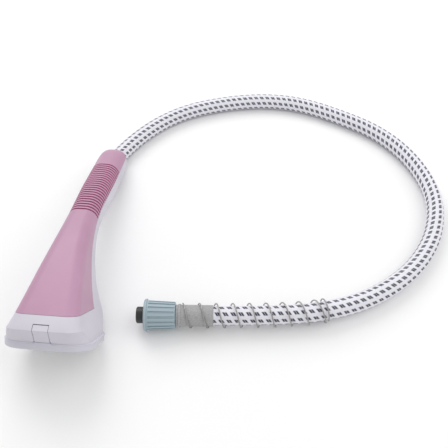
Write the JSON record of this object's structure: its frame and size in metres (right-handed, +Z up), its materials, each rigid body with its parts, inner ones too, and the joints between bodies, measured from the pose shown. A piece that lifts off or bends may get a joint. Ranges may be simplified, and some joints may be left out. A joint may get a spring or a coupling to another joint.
{
  "type": "steam handset with hose",
  "caption": "Hand-held steamer handset with a ribbed grip, a flared perforated steam face, a braided hose with a wire kink spring and a union nut",
  "frame": {"origin": "below the middle of the handset, on the surface that the handset, nut and hose lie on", "axes": "+Y runs from the steam face along the handset to the hose end, +Z is up, +X is across the handset towards the side where the hose comes round"},
  "size_m": [0.4984, 0.4867, 0.0876],
  "materials": {
    "pink_plastic": "satin moulded pink plastic",
    "white_plastic": "satin moulded white plastic",
    "rim_plastic": "satin moulded white plastic, slightly darker",
    "plate_metal": "pressed sheet",
    "seal_rubber": "silicone rubber",
    "chamber_plastic": "heat-resistant nylon",
    "steel": "zinc plated steel",
    "tube_rubber": "black rubber",
    "braid": "white braid with dark flecks",
    "sleeve_rubber": "grey rubber",
    "spring_steel": "bright spring wire",
    "nozzle_plastic": "black nylon",
    "nut_plastic": "grey-blue moulded plastic"
  },
  "bodies": {
    "handset": {"front_shell": "pink_plastic", "rear_shell": "white_plastic", "face_frame": "rim_plastic", "steam_plate": "plate_metal", "hose_collar": "white_plastic", "shell_screws": "steel", "plate_screws": "steel", "plate_gasket": "seal_rubber", "steam_chamber": "chamber_plastic", "inlet_spigot": "chamber_plastic", "steam_tube": "tube_rubber", "tube_clips": "steel", "hose_barb": "nozzle_plastic", "hose_ferrule": "steel", "clip_spring": "steel", "clip_pin": "steel", "hose_liner": "tube_rubber", "hose_cover": "braid", "hose_sleeve": "sleeve_rubber", "kink_spring": "spring_steel", "nozzle_insert": "nozzle_plastic", "nozzle_seal": "seal_rubber", "nut_washer": "seal_rubber", "tail_ferrule": "steel"},
    "clip": {"release_clip": "white_plastic"},
    "nut": {"union_nut": "nut_plastic"}
  },
  "joints": [
    {"name": "nut_spin", "type": "hinge", "parent": "handset", "child": "nut", "pos_m": [0.08613, -0.0901, 0.01832], "axis": [0.9965, 0.0816, -0.0189], "continuous": true},
    {"name": "clip_press", "type": "hinge", "parent": "handset", "child": "clip", "pos_m": [0, -0.1544, 0.07], "axis": [-1, 0, 0], "range_deg": [0, 3], "stiffness_Nm_per_rad": 0.1, "springref_deg": -8.59, "deforming": ["clip_spring"]}
  ]
}
